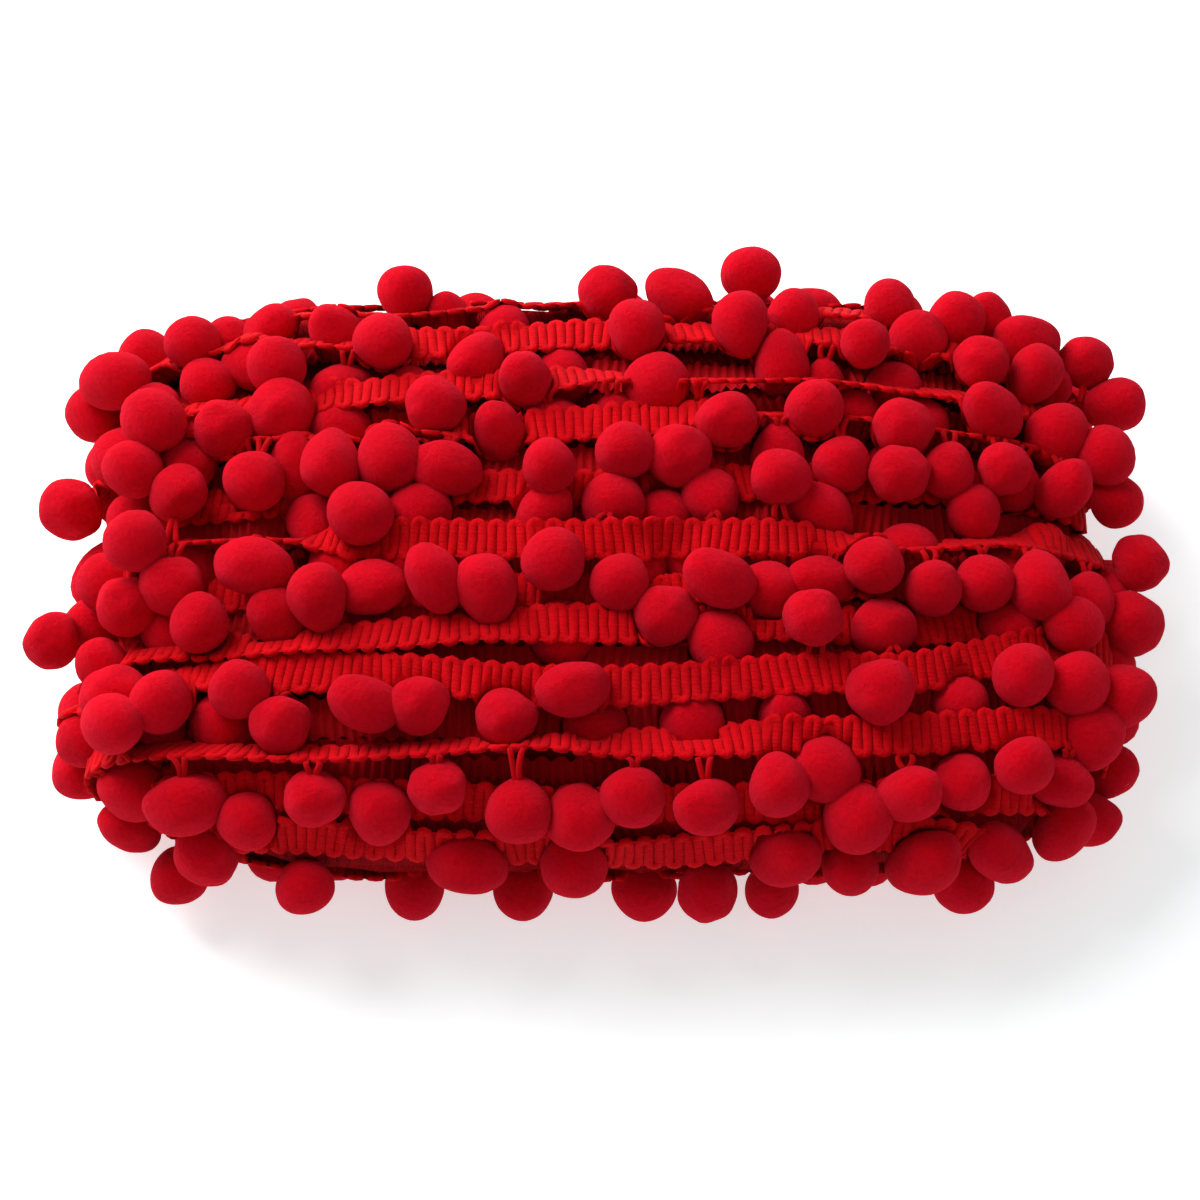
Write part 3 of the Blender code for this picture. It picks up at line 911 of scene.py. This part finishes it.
def makeYarnGroup():
    group, start, end = newGroup("twistedYarn", {"Run": "Vector", "Twists": "Float"},
                                 {"Height": "Float", "Dent": "Float"})
    split = addNode(group, "ShaderNodeSeparateXYZ", Vector=start["Run"]).outputs
    turned = mathNode(group, "MULTIPLY_ADD", split["X"], start["Twists"], split["Y"])
    ply = mathNode(group, "SINE", mathNode(group, "MULTIPLY", turned, 2 * math.pi * yarnLooks["plies"]))
    part = mathNode(group, "FRACT", split["X"])
    part = mathNode(group, "MULTIPLY", part, 2 * math.pi / yarnLooks["warpPitch"])
    warp = mathNode(group, "COSINE", part)
    dent = mathNode(group, "MULTIPLY_ADD", warp, 0.5, 0.5)
    dent = mathNode(group, "POWER", dent, yarnLooks["warpNarrowness"])
    height = mathNode(group, "MULTIPLY_ADD", dent, -yarnLooks["warpDepth"],
                      mathNode(group, "MULTIPLY", ply, yarnLooks["plyHeight"]))
    # Dent marks the warp dents; it drives the bump and the painted shade in the colour.
    group.links.new(height, end["Height"])
    group.links.new(dent, end["Dent"])
    return group


def makeFuzzGroup():
    group, start, end = newGroup("fibreFuzz", {"Vector": "Vector", "Scale": "Float"}, {"Height": "Float"})
    coarse = addNode(group, "ShaderNodeTexNoise", Vector=start["Vector"], Scale=start["Scale"],
                     **yarnLooks["coarseFuzz"])
    fineScale = mathNode(group, "MULTIPLY", start["Scale"], yarnLooks["fineTimes"])
    fine = addNode(group, "ShaderNodeTexNoise", Vector=start["Vector"], Scale=fineScale,
                   **yarnLooks["fineFuzz"])
    height = mathNode(group, "MULTIPLY_ADD", fine.outputs["Fac"], yarnLooks["fineShare"],
                      coarse.outputs["Fac"])
    group.links.new(height, end["Height"])
    return group


def setSockets(node, values):
    for title, value in values.items():
        node.inputs[title].default_value = value


def makeMaterial(settings):
    material = bpy.data.materials.new(settings["name"])
    material.use_nodes = True
    tree = material.node_tree
    shader = tree.nodes["Principled BSDF"]
    setSockets(shader, settings["sockets"])
    objectSpot = addNode(tree, "ShaderNodeTexCoord").outputs["Object"]
    dye = addNode(tree, "ShaderNodeGroup", {"node_tree": groups["dye"]}, Vector=objectSpot,
                  Light=settings["light"], Deep=settings["deep"], Scale=settings["dyeScale"])
    fuzz = addNode(tree, "ShaderNodeGroup", {"node_tree": groups["fuzz"]}, Vector=objectSpot,
                   Scale=settings["fuzzScale"])
    height = fuzz.outputs["Height"]
    # Painted shade: the colour is darkened in the low pits of the fuzz, where shade falls between the
    # fibres.
    paintedPits = mathNode(tree, "MULTIPLY", rangeNode(tree, height, yarnLooks["paintedPitRange"]), settings["paintedPitShade"])
    colour = mixNode(tree, "MULTIPLY", paintedPits, dye.outputs["Color"], yarnLooks["paintedPitShadeColour"])
    if settings.get("run"):
        runMap = addNode(tree, "ShaderNodeUVMap", {"uv_map": settings["run"]})
        yarn = addNode(tree, "ShaderNodeGroup", {"node_tree": groups["yarn"]}, Run=runMap.outputs["UV"],
                       Twists=settings["twists"])
        # Painted shade: the colour is darkened in the dents where the warp binds the cord.
        paintedDents = mathNode(tree, "MULTIPLY", yarn.outputs["Dent"], settings["paintedDentShade"])
        colour = mixNode(tree, "MULTIPLY", paintedDents, colour, yarnLooks["paintedDentShadeColour"])
        height = mathNode(tree, "MULTIPLY_ADD", yarn.outputs["Height"], settings["yarnShare"], height)
    tree.links.new(colour, shader.inputs["Base Color"])
    bump = addNode(tree, "ShaderNodeBump", Height=height, Strength=settings["bumpStrength"],
                   Distance=settings["bumpDepth"])
    tree.links.new(bump.outputs["Normal"], shader.inputs["Normal"])
    return material


# What all the materials share, then one row for each.
yarnLooks = {
    "dyeDetail": 4.0,
    "dyeRoughness": 0.6,
    "dyeRange": (0.32, 0.68),
    "plies": 2,
    "plyHeight": 0.45,
    "warpPitch": 0.2,  # of the distance between two ribs
    "warpNarrowness": 4.0,
    "warpDepth": 0.35,
    "coarseFuzz": {"Detail": 5.0, "Roughness": 0.68},
    "fineFuzz": {"Detail": 2.0, "Roughness": 0.6, "Distortion": 1.6},
    "fineTimes": 4.3,
    "fineShare": 0.45,
    # Painted shade in the fuzz pits: the height range that darkens, and the colour it darkens towards.
    "paintedPitRange": (0.84, 0.60),
    "paintedPitShadeColour": (0.55, 0.50, 0.50, 1.0),
    # Painted shade in the warp dents of the braid cord.
    "paintedDentShadeColour": (0.35, 0.30, 0.30, 1.0),
}
felt = {
    "name": "redFelt", "light": (0.85, 0.0006, 0.010, 1), "deep": (0.71, 0.0004, 0.007, 1),
    "dyeScale": 60.0, "fuzzScale": 1300.0, "bumpStrength": 0.85, "bumpDepth": 0.6 * mm, "paintedPitShade": 0.34,
    "sockets": {"Roughness": 0.95, "Specular IOR Level": 0.04, "Sheen Weight": 0.26, "Sheen Roughness": 0.5,
                "Sheen Tint": (1.0, 0.11, 0.26, 1.0)},
}
braidYarn = {
    "name": "redBraidYarn", "light": (0.72, 0.0006, 0.006, 1), "deep": (0.56, 0.0004, 0.004, 1),
    "dyeScale": 110.0, "fuzzScale": 2600.0, "bumpStrength": 0.7, "bumpDepth": 0.16 * mm, "paintedPitShade": 0.15,
    "run": "cordRun", "twists": 5.0, "yarnShare": 0.35, "paintedDentShade": 0.12,
    "sockets": {"Roughness": 0.85, "Specular IOR Level": 0.08, "Sheen Weight": 0.15, "Sheen Roughness": 0.4,
                "Sheen Tint": (1.0, 0.10, 0.18, 1.0)},
}
# The backing strip is painted darker than the cord yarn: painted shade in the grooves between the ribs.
shadedStripCloth = {
    "name": "redStripClothPaintedShade", "light": (0.60, 0.0008, 0.005, 1), "deep": (0.45, 0.0006, 0.004, 1),
    "dyeScale": 150.0, "fuzzScale": 3000.0, "bumpStrength": 0.6, "bumpDepth": 0.15 * mm, "paintedPitShade": 0.2,
    "sockets": {"Roughness": 0.95, "Specular IOR Level": 0.1},
}
# The layer under the outer turns is the same braid, painted darker than the outer braid yarn: painted shade
# under the outer turns.
shadedLayerCloth = {
    "name": "redLayerBraidPaintedShade", "light": (0.58, 0.001, 0.007, 1), "deep": (0.42, 0.0008, 0.005, 1),
    "dyeScale": 150.0, "fuzzScale": 2600.0, "bumpStrength": 0.6, "bumpDepth": 0.15 * mm, "paintedPitShade": 0.2,
    "sockets": {"Roughness": 0.9, "Specular IOR Level": 0.15},
}
# The wound core is the same red yarn, painted much darker: painted shade for the deep gaps between the
# turns and balls.
shadedInnerYarn = {
    "name": "redInnerYarnPaintedShade", "light": (0.52, 0.002, 0.008, 1), "deep": (0.36, 0.0012, 0.005, 1),
    "dyeScale": 130.0, "fuzzScale": 700.0, "bumpStrength": 0.9, "bumpDepth": 0.9 * mm, "paintedPitShade": 0.4,
    "run": "coreRun", "twists": 0.5, "yarnShare": 1.3, "paintedDentShade": 0.0,
    "sockets": {"Roughness": 1.0, "Specular IOR Level": 0.05},
}

studio = {
    "target": (0.0, -5.6 * mm, 20.0 * mm),
    "distance": 0.38,
    "elevation": 62.0,
    "lens": 70.7,
    "sensor": 36.0,
    "floorSize": 6.0,
    "nearest": 0.01,
    # The glow keeps the shadow pale, and its colour makes up for the red that the trim throws down.
    "floorSockets": {"Base Color": (0.93, 0.93, 0.93, 1.0), "Roughness": 0.9,
                     "Emission Color": (0.85, 0.965, 0.975, 1.0), "Emission Strength": 0.55},
    "worldSockets": {"Color": (1.0, 0.985, 0.98, 1.0), "Strength": 0.37},
}
lights = [
    {"name": "keyLight", "spot": (-0.36, 0.32, 0.55), "size": 0.42, "power": 4.6,
     "colour": (1.0, 0.985, 0.98)},
    {"name": "rimLight", "spot": (-0.60, 0.75, 0.26), "size": 0.5, "power": 7.3,
     "colour": (1.0, 0.9, 1.0)},
]


def aim(thing, spot):
    thing.location = spot
    thing.rotation_euler = (Vector(studio["target"]) - Vector(spot)).to_track_quat("-Z", "Y").to_euler()


def makeStudio():
    bpy.ops.mesh.primitive_plane_add(size=studio["floorSize"], location=(0, 0, 0))
    floor = bpy.context.object
    floor.name = "studioFloor"
    paper = bpy.data.materials.new("palePaper")
    paper.use_nodes = True
    setSockets(paper.node_tree.nodes["Principled BSDF"], studio["floorSockets"])
    floor.data.materials.append(paper)
    world = bpy.data.worlds.new("studioWorld")
    world.use_nodes = True
    setSockets(world.node_tree.nodes["Background"], studio["worldSockets"])
    bpy.context.scene.world = world
    for light in lights:
        data = bpy.data.lights.new(light["name"], "AREA")
        data.energy, data.size, data.color = light["power"], light["size"], light["colour"]
        aim(addObject(light["name"], data), light["spot"])
    data = bpy.data.cameras.new("studioCamera")
    data.sensor_width, data.lens = studio["sensor"], studio["lens"]
    data.clip_start = studio["nearest"]
    camera = addObject("studioCamera", data)
    tilt = math.radians(studio["elevation"])
    away = Vector((0, -math.cos(tilt), math.sin(tilt))) * studio["distance"]
    aim(camera, Vector(studio["target"]) + away)
    bpy.context.scene.camera = camera
    bpy.context.scene.view_settings.view_transform = "Standard"


makeStudio()
print("studio ready")
groups = {"dye": makeDyeGroup(), "yarn": makeYarnGroup(), "fuzz": makeFuzzGroup()}
feltFinish, braidFinish, shadedStripFinish, shadedLayerFinish, shadedInnerFinish = (
    makeMaterial(item) for item in (felt, braidYarn, shadedStripCloth, shadedLayerCloth, shadedInnerYarn))
innerRows = betweenTurns()
outerRoute = woundRoute("outer", turns, braid["seed"])
innerRoute = woundRoute("inner", innerRows, innerBraid["seed"])
balls = easeApart(gatherPompoms())
findStems()
for route in (outerRoute, innerRoute):
    chooseSides(route)
print("pompoms placed:", len(balls))

inner = innerTurns()
# Painted shade: the core wears the darkened yarn colour.
inner.data.materials.append(shadedInnerFinish)
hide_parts("wound_body")
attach(inner, body)

cords = []
firstRib = 0
for number, turn in enumerate(turns):
    turnEnd = np.interp(number + 1, outerRoute["wound"], outerRoute["length"])
    lastRib = int(turnEnd / braid["ribPitch"])
    cord = braidCord(f"braidCord_{turn['name']}", outerRoute, firstRib, lastRib + 1)
    cord.data.materials.append(braidFinish)
    cords.append(cord)
    firstRib = lastRib
print("braid cords made:", len(cords))

strip = braidStrip(outerRoute)
strip.data.materials.append(shadedStripFinish)
layer = innerBraidSheet(innerRoute)
layer.data.materials.append(shadedLayerFinish)
stems = makeStems()
stems.data.materials.append(braidFinish)
pompoms = makePompoms()
print("pompoms and stems made")
for piece in cords + [strip, layer, stems]:
    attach(piece, body)
for piece in pompoms:
    piece.data.materials.clear()
    piece.data.materials.append(feltFinish)
    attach(piece, body)
